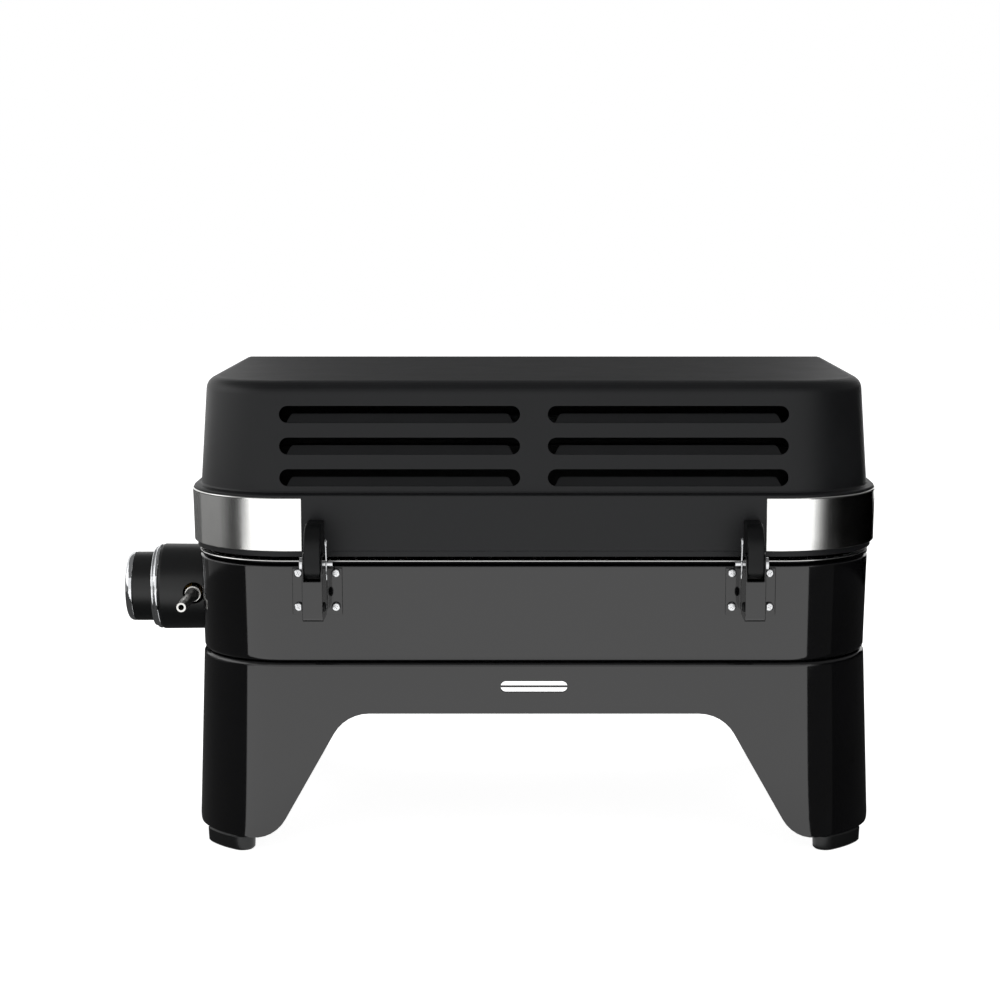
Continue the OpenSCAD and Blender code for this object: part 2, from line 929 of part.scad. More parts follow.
module lid_trim_band() {
    color("#d9dbdd")
        difference() {
            around()
                polygon([[-0.8, band_lo + 0.4], [0, band_hi - 1.6], [0.2, band_hi - 0.9],
                    [-0.2, band_hi - 0.2], [-0.8, band_hi], [-1, band_hi - 1],
                    [-1.8, band_lo], [-1.2, band_lo]]);
            translate([-band_gap, 0, band_lo - 5])
                cube([2 * band_gap, hd + 10, band_hi - band_lo + 10]);
        }
}

module lid_bumpers() {
    color("#3a3a3c")
        for (s = [-1, 1])
            translate([s * (loop_x - 50), -hd + 4.2, lip_z - 2.2])
                translate([-12, -0.6, 0])
                    cube([24, 1.6, 2.2]);
}

// Places a child on the sloped front, its z axis standing off the slope
module on_slope() {
    k = 0.76;
    translate([0, -ridge_y - k * slope_run, top_z - k * slope_rise])
        rotate([90 - atan2(slope_run, slope_rise), 0, 0])
            children();
}

module handle_holes(r) {
    for (s = [-1, 1])
        on_slope()
            translate([s * post_x, 0, -20])
                cylinder(h = 26, r = r);
}

module handle_grip() {
    color("#232427")
        difference() {
            on_slope()
                translate([-grip_len / 2, 0, 48])
                    rotate([0, 90, 0])
                        rotate_extrude()
                            polygon(concat([[0, 0]], arc([9, 3], 3, -90, 0), [[12.5, 40],
                                [12.5, grip_len - 40]], arc([9, grip_len - 3], 3, 0, 90), [[0, grip_len]]));
            for (s = [-1, 1])
                on_slope()
                    translate([s * post_x, 0, 20])
                        cylinder(h = 25, r = 8.1);
        }
}

module handle_post(s) {
    color("#cfd2d5")
        on_slope()
            translate([s * post_x, 0, 0])
                difference() {
                    rotate_extrude()
                        polygon([[0, 0.1], [11, 0.1], [11, 2], [8, 4], [8, 44.8], [0, 44.8]]);
                    translate([0, 0, -1])
                        cylinder(h = 21, r = 2.6);
                }
}

module handle_post_left() {
    handle_post(-1);
}

module handle_post_right() {
    handle_post(1);
}

module handle_backing_strip() {
    color("#d2d4d6")
        difference() {
            on_slope()
                translate([-post_x - 20, -5, -lid_t - 2.1])
                    cube([2 * post_x + 40, 10, 2]);
            handle_holes(2.7);
        }
}

module handle_screws() {
    color("#b9bcc0")
        for (s = [-1, 1])
            on_slope()
                translate([s * post_x, 0, -lid_t - 5.1]) {
                    cylinder(h = 3, r1 = 3.4, r2 = 4.4);
                    cylinder(h = 22, r = 2.5);
                }
}

leg_stand();
foot_front_left();
foot_front_right();
foot_rear_left();
foot_rear_right();
foot_screws();
firebox();
stand_screws();
rim_trim();
grease_tray();
burner_loop();
burner_rest();
tamer_rail_left();
tamer_rail_right();
flame_tamer_front();
flame_tamer_rear();
grid_left();
grid_right();
electrode_sleeve();
electrode_wire();
valve_housing();
housing_bezel();
housing_screws();
gas_valve();
injector();
hose_tail();
return_spring();
stem_collar();
valve_stem();
control_knob();
knob_ring();
hinge_bracket_left();
hinge_bracket_right();
hinge_pin_left();
hinge_pin_right();
hinge_clip_left();
hinge_clip_right();
hinge_rivets();
hinge_screws();
hinge_arm_left();
hinge_arm_right();
arm_screws();
lid_shell();
lid_trim_band();
lid_bumpers();
handle_grip();
handle_post_left();
handle_post_right();
handle_backing_strip();
handle_screws();
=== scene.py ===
"""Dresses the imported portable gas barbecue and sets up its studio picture, seen from behind."""

from __future__ import annotations

import logging
import math
from dataclasses import dataclass, field
from enum import Enum

import bmesh
import bpy
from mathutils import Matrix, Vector

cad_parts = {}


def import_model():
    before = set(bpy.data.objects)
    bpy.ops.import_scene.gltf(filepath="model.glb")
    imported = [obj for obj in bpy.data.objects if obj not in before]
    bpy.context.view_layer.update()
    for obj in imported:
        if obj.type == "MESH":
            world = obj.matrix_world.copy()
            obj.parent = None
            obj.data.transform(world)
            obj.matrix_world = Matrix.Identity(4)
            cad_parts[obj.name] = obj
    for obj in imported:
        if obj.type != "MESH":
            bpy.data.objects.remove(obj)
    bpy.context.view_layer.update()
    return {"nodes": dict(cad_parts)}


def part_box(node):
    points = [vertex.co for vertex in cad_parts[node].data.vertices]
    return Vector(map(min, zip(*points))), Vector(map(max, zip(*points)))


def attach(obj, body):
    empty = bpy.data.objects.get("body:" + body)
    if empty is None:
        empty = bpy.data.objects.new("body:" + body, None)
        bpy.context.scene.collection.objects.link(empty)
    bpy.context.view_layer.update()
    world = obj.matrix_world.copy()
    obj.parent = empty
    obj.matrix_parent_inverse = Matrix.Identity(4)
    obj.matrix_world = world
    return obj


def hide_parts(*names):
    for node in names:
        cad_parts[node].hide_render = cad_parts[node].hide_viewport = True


LOG = logging.getLogger("barbecue")
MM = 0.001
# A shader node and the name or number of one of its outputs
Output = tuple[bpy.types.Node, str | int]
# The mix node's colour sockets go by number, because several of its sockets share a name
MIX_FACTOR, MIX_A, MIX_B, MIX_RESULT = 0, 6, 7, 2
# Usual low and high of the drift noise, and of the drift with its share of grain added
DRIFT_RANGE, UNEVEN_RANGE, GRAIN_SHARE = (0.3, 0.7), (0.4, 1.1), 0.5
LEAST_ROUGHNESS, SHEEN_ROUGHNESS, BEVEL_SAMPLES = 0.02, 0.4, 6
# Cosine of an edge's turn where rubbing starts and where it is full, and the size of a rubbed patch
RUB_STARTS, RUB_FULL, RUB_PATCH_MM = 0.995, 0.86, 5
# Turns the spread of highlights across the brush lines
QUARTER_TURN = 0.25
# Share of a wire's radius that its cut ends are rounded by
END_ROUND = 0.45
# Pieces along a curved card's edge, and how far a floor card lies above the floor, in metres
CARD_STEPS, CARD_LIFT = 24, 0.0008
# Near the trim band's rear corners, knob side first, where the curved cards fan out; metres
LEFT, RIGHT = (0.233, 0.172), (-0.226, 0.172)
WHITE = (1.0, 1.0, 1.0, 1.0)


def linear(code: str) -> tuple[float, float, float, float]:
    """Turns an sRGB hex colour into linear light.

    Args:
        code: Colour written as #rrggbb.

    Returns:
        Red, green, blue in linear light and an alpha of one.
    """
    parts = [int(code[i:i + 2], 16) / 255 for i in (1, 3, 5)]
    light = [c / 12.92 if c <= 0.04045 else ((c + 0.055) / 1.055) ** 2.4 for c in parts]
    return (light[0], light[1], light[2], 1.0)


def add_node(tree: bpy.types.NodeTree, kind: str, settings: dict | None = None,
             links: dict | None = None) -> bpy.types.Node:
    """Adds one shader node with its settings and links.

    Args:
        tree: Node tree that receives it.
        kind: Blender's name for the node type.
        settings: Values by input name, input number or attribute name.
        links: By input name or number, the (node, output) that feeds it.

    Returns:
        The new node.
    """
    made = tree.nodes.new(kind)
    for key, value in (settings or {}).items():
        if isinstance(key, int) or key in made.inputs:
            made.inputs[key].default_value = value
        else:
            setattr(made, key, value)
    for key, (source, output) in (links or {}).items():
        tree.links.new(source.outputs[output], made.inputs[key])
    return made


class Slot(Enum):
    """Finish slots of the record."""

    LID_PAINT = "lid_paint"
    ENAMEL = "black_enamel"
    TRIM = "trim_steel"
    RIM = "rim_steel"
    CHROME = "chrome_ring"
    PLASTIC = "black_plastic"
    HINGE = "hinge_paint"
    PIN = "pin_steel"
    ZINC = "zinc_steel"
    BURNER = "burner_steel"
    IRON = "grid_iron"
    TRAY = "tray_aluminium"
    CERAMIC = "electrode_ceramic"
    BRASS = "valve_brass"
    NICKEL = "nickel_tail"
    RUBBER = "foot_rubber"


@dataclass(frozen=True)
class Finish:
    """One surface finish, named for its material and how it was made.

    Attributes:
        name: Material name.
        colour: Main colour, sRGB hex.
        second: Colour that the mottling drifts to, sRGB hex.
        roughness: Middle roughness.
        spread: How far the roughness wanders.
        ior: Index of refraction.
        metallic: Zero for paint and plastic, one for bare metal.
        grain_mm: Size of one grain across, in millimetres.
        depth_mm: Height of the texture.
        mottle_mm: Size of the colour drift.
        edge_mm: How far a sharp edge is eased.
        sheen: Weight of the dusty edge sheen of matte paint.
        rubbed: Colour of rubbed edges, sRGB hex.
        wear: Share of the edges that is rubbed.
    """

    name: str
    colour: str
    second: str
    roughness: float
    spread: float = 0.05
    ior: float = 1.5
    metallic: float = 0.0
    grain_mm: float = 0.6
    depth_mm: float = 0.01
    mottle_mm: float = 60.0
    edge_mm: float = 0.35
    sheen: float = 0.0
    rubbed: str = "#2c2d2e"
    wear: float = 0.35

    def grain(self, tree: bpy.types.NodeTree, place: bpy.types.Node) -> Output:
        """Makes the fine texture.

        Args:
            tree: Node tree of the material.
            place: Texture coordinate node.

        Returns:
            The node and output that hold the texture's height.
        """
        fine = add_node(tree, "ShaderNodeTexNoise",
                        {"Scale": 1 / (self.grain_mm * MM), "Detail": 2.0, "Roughness": 0.55},
                        {"Vector": (place, "Object")})
        return fine, "Fac"

    def tint(self, tree: bpy.types.NodeTree, share: Output) -> Output:
        """Mixes the two colours by the drift.

        Args:
            tree: Node tree of the material.
            share: Node and output of the drift from zero to one.

        Returns:
            The node and output that hold the colour.
        """
        mixed = add_node(tree, "ShaderNodeMix",
                         {"data_type": "RGBA", MIX_A: linear(self.colour), MIX_B: linear(self.second)},
                         {MIX_FACTOR: share})
        return mixed, MIX_RESULT

    def rub(self, tree: bpy.types.NodeTree, place: bpy.types.Node, eased: bpy.types.Node) -> bpy.types.Node:
        """Finds the places along edges where handling has rubbed the surface.

        Args:
            tree: Node tree of the material.
            place: Texture coordinate node.
            eased: Bevel node that turns the normal near edges.

        Returns:
            A node whose Value is the rubbed share.
        """
        face = add_node(tree, "ShaderNodeNewGeometry")
        turned = add_node(tree, "ShaderNodeVectorMath", {"operation": "DOT_PRODUCT"},
                          {0: (eased, "Normal"), 1: (face, "Normal")})
        near = add_node(tree, "ShaderNodeMapRange",
                        {"From Min": RUB_STARTS, "From Max": RUB_FULL, "To Max": self.wear},
                        {"Value": (turned, "Value")})
        patchy = add_node(tree, "ShaderNodeTexNoise", {"Scale": 1 / (RUB_PATCH_MM * MM), "Detail": 3.0},
                          {"Vector": (place, "Object")})
        return add_node(tree, "ShaderNodeMath", {"operation": "MULTIPLY"},
                        {0: (near, "Result"), 1: (patchy, "Fac")})

    def gloss(self) -> dict[str, float]:
        """Collects the shader settings that are the same all over.

        Returns:
            Values by input name.
        """
        return {"Metallic": self.metallic, "IOR": self.ior, "Sheen Weight": self.sheen,
                "Sheen Roughness": SHEEN_ROUGHNESS}

    def local(self, tree: bpy.types.NodeTree, place: bpy.types.Node) -> dict[str, Output]:
        """Links shader inputs that vary by place; plain finishes have none.

        Args:
            tree: Node tree of the material.
            place: Texture coordinate node.

        Returns:
            By input name, the node and output that feed it.
        """
        return {}

    def material(self) -> bpy.types.Material:
        """Builds the material.

        Returns:
            A node material with drifting colour, wandering roughness, fine bump and eased edges.
        """
        made = bpy.data.materials.new(self.name)
        made.use_nodes = True
        tree = made.node_tree
        tree.nodes.clear()
        place = add_node(tree, "ShaderNodeTexCoord")
        drift = add_node(tree, "ShaderNodeTexNoise",
                         {"Scale": 1 / (self.mottle_mm * MM), "Detail": 5.0, "Roughness": 0.6},
                         {"Vector": (place, "Object")})
        share = add_node(tree, "ShaderNodeMapRange",
                         {"From Min": DRIFT_RANGE[0], "From Max": DRIFT_RANGE[1]},
                         {"Value": (drift, "Fac")})
        colour = self.tint(tree, (share, "Result"))
        height = self.grain(tree, place)
        uneven = add_node(tree, "ShaderNodeMath", {"operation": "MULTIPLY_ADD", 1: GRAIN_SHARE},
                          {0: height, 2: (drift, "Fac")})
        rough = add_node(tree, "ShaderNodeMapRange",
                         {"From Min": UNEVEN_RANGE[0], "From Max": UNEVEN_RANGE[1],
                          "To Min": max(self.roughness - self.spread, LEAST_ROUGHNESS),
                          "To Max": self.roughness + self.spread},
                         {"Value": (uneven, "Value")})
        eased = add_node(tree, "ShaderNodeBevel", {"samples": BEVEL_SAMPLES, "Radius": self.edge_mm * MM})
        shown = add_node(tree, "ShaderNodeMix", {"data_type": "RGBA", MIX_B: linear(self.rubbed)},
                         {MIX_FACTOR: (self.rub(tree, place, eased), "Value"), MIX_A: colour})
        bump = add_node(tree, "ShaderNodeBump", {"Strength": 1.0, "Distance": self.depth_mm * MM},
                        {"Height": height, "Normal": (eased, "Normal")})
        shader = add_node(tree, "ShaderNodeBsdfPrincipled", self.gloss(),
                          {"Base Color": (shown, MIX_RESULT), "Roughness": (rough, "Result"),
                           "Normal": (bump, "Normal"), **self.local(tree, place)})
        add_node(tree, "ShaderNodeOutputMaterial", None, {"Surface": (shader, "BSDF")})
        return made


@dataclass(frozen=True)
class Brushed(Finish):
    """Metal with long fine lines that run round the object.

    Attributes:
        run_mm: Length of a line.
        anisotropy: How far highlights spread across the lines.
    """

    run_mm: float = 40.0
    anisotropy: float = 0.5

    def grain(self, tree: bpy.types.NodeTree, place: bpy.types.Node) -> Output:
        """Makes lines that are long in plan and fine in height.

        Args:
            tree: Node tree of the material.
            place: Texture coordinate node.

        Returns:
            The node and output that hold the texture's height.
        """
        along, across = 1 / (self.run_mm * MM), 1 / (self.grain_mm * MM)
        drawn = add_node(tree, "ShaderNodeMapping", {"Scale": (along, along, across)},
                         {"Vector": (place, "Object")})
        fine = add_node(tree, "ShaderNodeTexNoise", {"Scale": 1.0, "Detail": 3.0, "Roughness": 0.7},
                        {"Vector": (drawn, "Vector")})
        return fine, "Fac"

    def gloss(self) -> dict[str, float]:
        """Collects the shader settings that are the same all over.

        Returns:
            Values by input name.
        """
        return {"Metallic": self.metallic, "IOR": self.ior, "Anisotropic": self.anisotropy,
                "Anisotropic Rotation": QUARTER_TURN}


@dataclass(frozen=True)
class PaintedShadeBesideLine(Brushed):
    """Bright metal along one level line. Above and below it the colour is painted black as shade of the gaps
    beside the rim, so only a thin bright line shows.

    Attributes:
        level_mm: Height of the bright line above the ground.
        half_mm: Half its height.
        blur_mm: Half the width of its soft edges.
        painted_shade: Colour of the painted shade beside the line, sRGB hex.
    """

    level_mm: float = 243.0
    half_mm: float = 0.8
    blur_mm: float = 0.15
    painted_shade: str = "#161617"

    def local(self, tree: bpy.types.NodeTree, place: bpy.types.Node) -> dict[str, Output]:
        """Paints black shade on the metal beside the line.

        Args:
            tree: Node tree of the material.
            place: Texture coordinate node.

        Returns:
            The link of the colour.
        """
        part = add_node(tree, "ShaderNodeSeparateXYZ", None, {0: (place, "Object")})
        off = add_node(tree, "ShaderNodeMath", {"operation": "SUBTRACT", 1: self.level_mm * MM},
                       {0: (part, "Z")})
        far = add_node(tree, "ShaderNodeMath", {"operation": "ABSOLUTE"}, {0: (off, "Value")})
        bare = add_node(tree, "ShaderNodeMapRange",
                        {"From Min": (self.half_mm + self.blur_mm) * MM,
                         "From Max": (self.half_mm - self.blur_mm) * MM},
                        {"Value": (far, "Value")})
        # painted shade colour away from the line, the metal's own colour on it
        shade = add_node(tree, "ShaderNodeMix",
                         {"data_type": "RGBA", MIX_A: linear(self.painted_shade), MIX_B: linear(self.colour)},
                         {MIX_FACTOR: (bare, "Result")})
        return {"Base Color": (shade, MIX_RESULT)}


@dataclass(frozen=True)
class HeatTinted(Finish):
    """Steel that fire has coloured.

    Attributes:
        straw: First tint, sRGB hex.
        blue: Tint of the hottest places, sRGB hex.
        straw_at: Share of the drift where straw is full.
        blue_at: Share of the drift where blue is full.
    """

    straw: str = "#9a835e"
    blue: str = "#565a6e"
    straw_at: float = 0.4
    blue_at: float = 0.62

    def tint(self, tree: bpy.types.NodeTree, share: Output) -> Output:
        """Runs from grey through straw and blue to soot.

        Args:
            tree: Node tree of the material.
            share: Node and output of the drift from zero to one.

        Returns:
            The node and output that hold the colour.
        """
        ramp = add_node(tree, "ShaderNodeValToRGB", None, {"Fac": share})
        stops = ramp.color_ramp.elements
        stops[0].color, stops[1].color = linear(self.colour), linear(self.second)
        for place, code in ((self.straw_at, self.straw), (self.blue_at, self.blue)):
            stops.new(place).color = linear(code)
        return ramp, "Color"


@dataclass(frozen=True)
class Cast(Finish):
    """Iron with the pitted skin of a sand mould.

    Attributes:
        pit_mm: Size of a pit.
        pit_share: Depth of the pits beside that of the sand.
    """

    pit_mm: float = 1.4
    pit_share: float = 0.6

    def grain(self, tree: bpy.types.NodeTree, place: bpy.types.Node) -> Output:
        """Makes sandy grain with pits in it.

        Args:
            tree: Node tree of the material.
            place: Texture coordinate node.

        Returns:
            The node and output that hold the texture's height.
        """
        sand = add_node(tree, "ShaderNodeTexNoise", {"Scale": 1 / (self.grain_mm * MM), "Detail": 4.0},
                        {"Vector": (place, "Object")})
        pits = add_node(tree, "ShaderNodeTexVoronoi", {"Scale": 1 / (self.pit_mm * MM)},
                        {"Vector": (place, "Object")})
        both = add_node(tree, "ShaderNodeMath", {"operation": "MULTIPLY_ADD", 1: self.pit_share},
                        {0: (pits, "Distance"), 2: (sand, "Fac")})
        return both, "Value"


FINISHES: dict[Slot, Finish] = {
    # dead black sprayed sheet, lifting to grey where it turns away; its 0.1 mm grit is drawn coarser to show
    Slot.LID_PAINT: Finish("black_heat_paint_sprayed", "#141517", "#1a1b1d", 0.45, 0.05, 1.37, grain_mm=0.45,
                           depth_mm=0.006, edge_mm=0.5, sheen=0.02, rubbed="#303133"),
    # wet-looking black glass that mirrors the studio
    Slot.ENAMEL: Finish("black_enamel_fired", "#0b0b0c", "#0f0f11", 0.06, 0.015, 1.62, grain_mm=7.0,
                        depth_mm=0.002, edge_mm=1.4, rubbed="#1c1c1e"),
    # bright strip with fine lines along it; real lines are 0.1 mm, drawn coarser so that they show
    Slot.TRIM: Brushed("stainless_strip_brushed", "#eeeeec", "#e2e2e0", 0.16, 0.06, metallic=1.0,
                       grain_mm=0.6, depth_mm=0.003, run_mm=14.0, edge_mm=0.3, rubbed="#f0f0ee"),
    # bright line along the firebox rim, with painted shade beside it for the gaps above and below the rim
    Slot.RIM: PaintedShadeBesideLine("steel_edge_drawn", "#ececea", "#dededc", 0.2, 0.05, metallic=1.0, grain_mm=0.2,
                        depth_mm=0.001, run_mm=30.0, edge_mm=0.4, rubbed="#dededc"),
    # mirror rings round the knob
    Slot.CHROME: Finish("chrome_plate_polished", "#e6e7e9", "#dcdee0", 0.06, 0.015, metallic=1.0,
                        grain_mm=6.0, depth_mm=0.0006, edge_mm=0.4, rubbed="#f0f0f0"),
    # satin black mouldings; the spark texture of the mould is drawn coarser than its 0.1 mm to show
    Slot.PLASTIC: Finish("black_plastic_moulded", "#121314", "#161718", 0.38, 0.05, 1.48, grain_mm=0.3,
                         depth_mm=0.004, edge_mm=0.6, rubbed="#2a2b2c"),
    # satin black castings of the hinges
    Slot.HINGE: Finish("black_powder_coat_baked", "#0f1011", "#131415", 0.42, 0.05, 1.3, grain_mm=0.6,
                       depth_mm=0.004, edge_mm=0.5, rubbed="#4a4b4c", wear=0.5),
    # bright pins, clips and screw heads
    Slot.PIN: Finish("bright_zinc_steel_turned", "#dedfe0", "#cfd0d2", 0.18, 0.05, metallic=1.0, grain_mm=0.3,
                     depth_mm=0.001, edge_mm=0.2, rubbed="#efefef"),
    # duller screws, stems and brackets out of sight
    Slot.ZINC: Finish("zinc_steel_rolled", "#b4b6b9", "#9da0a4", 0.3, 0.08, metallic=1.0, grain_mm=0.5,
                      depth_mm=0.003, mottle_mm=9.0, rubbed="#d0d1d3"),
    # straw and blue heat tints over grey
    Slot.BURNER: HeatTinted("stainless_heat_tinted", "#a39d94", "#4b4845", 0.34, 0.1, metallic=1.0,
                            grain_mm=0.7, depth_mm=0.004, mottle_mm=45.0, rubbed="#bcb8b0"),
    # seasoned black iron with a sandy skin
    Slot.IRON: Cast("cast_iron_seasoned", "#161615", "#262523", 0.5, 0.12, grain_mm=0.8, depth_mm=0.05,
                    mottle_mm=30.0, edge_mm=1.0, rubbed="#4c4945", wear=0.6),
    # pale pressed tray
    Slot.TRAY: Brushed("aluminium_sheet_pressed", "#c3c4c5", "#adaeb0", 0.34, 0.08, metallic=1.0,
                       grain_mm=0.4, depth_mm=0.002, run_mm=60.0, rubbed="#d8d9da"),
    # white fired sleeve
    Slot.CERAMIC: Finish("white_ceramic_fired", "#e4e0d6", "#d6cfc0", 0.28, 0.06, 1.55, grain_mm=0.7,
                         depth_mm=0.004, rubbed="#c8bfae"),
    # yellow machined metal
    Slot.BRASS: Finish("brass_machined", "#b08a45", "#957236", 0.26, 0.07, metallic=1.0, grain_mm=0.3,
                       depth_mm=0.002, mottle_mm=12.0, rubbed="#cda65e"),
    # plating on the hose tail
    Slot.NICKEL: Finish("nickel_plate_satin", "#e8e7e4", "#d8d7d4", 0.3, 0.06, metallic=1.0, grain_mm=1.2,
                        depth_mm=0.001, mottle_mm=8.0, edge_mm=0.25, rubbed="#dcdcda"),
    # dull grippy feet
    Slot.RUBBER: Finish("black_rubber_moulded", "#131415", "#191a1b", 0.42, 0.06, 1.5, grain_mm=0.5,
                        depth_mm=0.008, edge_mm=0.7, rubbed="#2b2b2c"),
}


@dataclass
class Wardrobe:
    """Keeps the finished materials and puts them on nodes and pieces.

    Attributes:
        made: Materials by slot.
    """

    made: dict[Slot, bpy.types.Material] = field(default_factory=dict)

    def cut(self) -> None:
        """Builds every finish once."""
        for slot, finish in FINISHES.items():
            self.made[slot] = finish.material()

    def dress(self, piece: bpy.types.Object, slot: Slot) -> None:
        """Gives a piece the finish of a slot.

        Args:
            piece: CAD node or new piece.
            slot: Finish slot of the record.
        """
        piece.data.materials.clear()
        piece.data.materials.append(self.made[slot])
        LOG.info("%s wears %s", piece.name, self.made[slot].name)


def new_piece(name: str, shape: bmesh.types.BMesh, body: str, smooth_deg: float = 35.0) -> bpy.types.Object:
    """Turns a finished shape into an object that rides on a body.

    Args:
        name: Piece name.
        shape: Its geometry, in metres; it is freed.
        body: CAD body that carries it.
        smooth_deg: Edges flatter than this are shaded smooth.

    Returns:
        The object.
    """
    bmesh.ops.recalc_face_normals(shape, faces=shape.faces[:])
    for edge in shape.edges:
        edge.smooth = len(edge.link_faces) == 2 and edge.calc_face_angle(0.0) < math.radians(smooth_deg)
    for face in shape.faces:
        face.smooth = True
    mesh = bpy.data.meshes.new(name)
    shape.to_mesh(mesh)
    shape.free()
    made = bpy.data.objects.new(name, mesh)
    bpy.context.scene.collection.objects.link(made)
    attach(made, body)
    LOG.info("built %s", name)
    return made


def arc(centre: tuple[float, float], radius: float, start: float, end: float,
        steps: int) -> list[tuple[float, float]]:
    """Points on an arc.

    Args:
        centre: Middle of the arc.
        radius: Radius of the arc.
        start: First angle in degrees.
        end: Last angle in degrees.
        steps: How many pieces the arc has.

    Returns:
        The points, both ends included.
    """
    angles = [math.radians(start + (end - start) * i / steps) for i in range(steps + 1)]
    return [(centre[0] + radius * math.cos(a), centre[1] + radius * math.sin(a)) for a in angles]


def tube(path: list[Vector], radius: float, sides: int = 16) -> bmesh.types.BMesh:
    """Sweeps a round wire along a path that lies in a plane of constant X.

    Args:
        path: Points of its centre line, in metres.
        radius: Wire radius in metres.
        sides: Points round the wire.

    Returns:
        The closed wire.
    """
    shape = bmesh.new()
    rings = []
    last = len(path) - 1
    for i, point in enumerate(path):
        along = (path[min(i + 1, last)] - path[max(i - 1, 0)]).normalized()
        side = Vector((1, 0, 0))
        up = along.cross(side)
        turns = [2 * math.pi * k / sides for k in range(sides)]
        rings.append([shape.verts.new(point + radius * (math.cos(t) * side + math.sin(t) * up))
                      for t in turns])
    for low, high in zip(rings, rings[1:]):
        for k in range(sides):
            shape.faces.new((low[k], low[(k + 1) % sides], high[(k + 1) % sides], high[k]))
    shape.faces.new(rings[0][::-1])
    shape.faces.new(rings[-1])
    rims = {e for ring in (rings[0], rings[-1]) for v in ring for e in v.link_edges
            if e.other_vert(v) in ring}
    bmesh.ops.bevel(shape, geom=list(rims), offset=radius * END_ROUND, segments=2, affect="EDGES")
    return shape


@dataclass
class SubAssembly:
    """Pieces that belong together; the CAD nodes keep their shape and get their finish.

    Attributes:
        nodes: CAD nodes by name.
        wardrobe: Source of the finishes.
        worn: Slot of each CAD node that stays.
    """

    nodes: dict[str, bpy.types.Object]
    wardrobe: Wardrobe
    worn: dict[str, Slot] = field(default_factory=dict)

    def build(self) -> None:
        """Makes the pieces that stand for CAD nodes; most sub-assemblies have none."""

    def dress(self) -> None:
        """Puts its finish on each CAD node."""
        for name, slot in self.worn.items():
            self.wardrobe.dress(self.nodes[name], slot)


@dataclass
class Stand(SubAssembly):
    """Pressed skirt with four arched legs, and its feet."""

    worn: dict[str, Slot] = field(default_factory=lambda: {
        "leg_stand": Slot.ENAMEL, "foot_front_left": Slot.RUBBER, "foot_front_right": Slot.RUBBER,
        "foot_rear_left": Slot.RUBBER, "foot_rear_right": Slot.RUBBER, "foot_screws": Slot.ZINC})


@dataclass
class FireboxSet(SubAssembly):
    """Enamelled firebox, its bright rim and what lies inside."""

    worn: dict[str, Slot] = field(default_factory=lambda: {
        "firebox": Slot.ENAMEL, "stand_screws": Slot.ZINC, "rim_trim": Slot.RIM, "grease_tray": Slot.TRAY,
        "burner_loop": Slot.BURNER, "burner_rest": Slot.BURNER, "tamer_rail_left": Slot.BURNER,
        "tamer_rail_right": Slot.BURNER, "flame_tamer_front": Slot.BURNER, "flame_tamer_rear": Slot.BURNER,
        "grid_left": Slot.IRON, "grid_right": Slot.IRON, "electrode_sleeve": Slot.CERAMIC,
        "electrode_wire": Slot.ZINC})


@dataclass
class GasControl(SubAssembly):
    """Valve in its round housing, with the knob and the hose tail."""

    worn: dict[str, Slot] = field(default_factory=lambda: {
        "valve_housing": Slot.PLASTIC, "housing_bezel": Slot.CHROME, "housing_screws": Slot.ZINC,
        "gas_valve": Slot.BRASS, "injector": Slot.BRASS, "hose_tail": Slot.NICKEL, "return_spring": Slot.ZINC,
        "stem_collar": Slot.ZINC, "valve_stem": Slot.ZINC, "control_knob": Slot.PLASTIC,
        "knob_ring": Slot.CHROME})


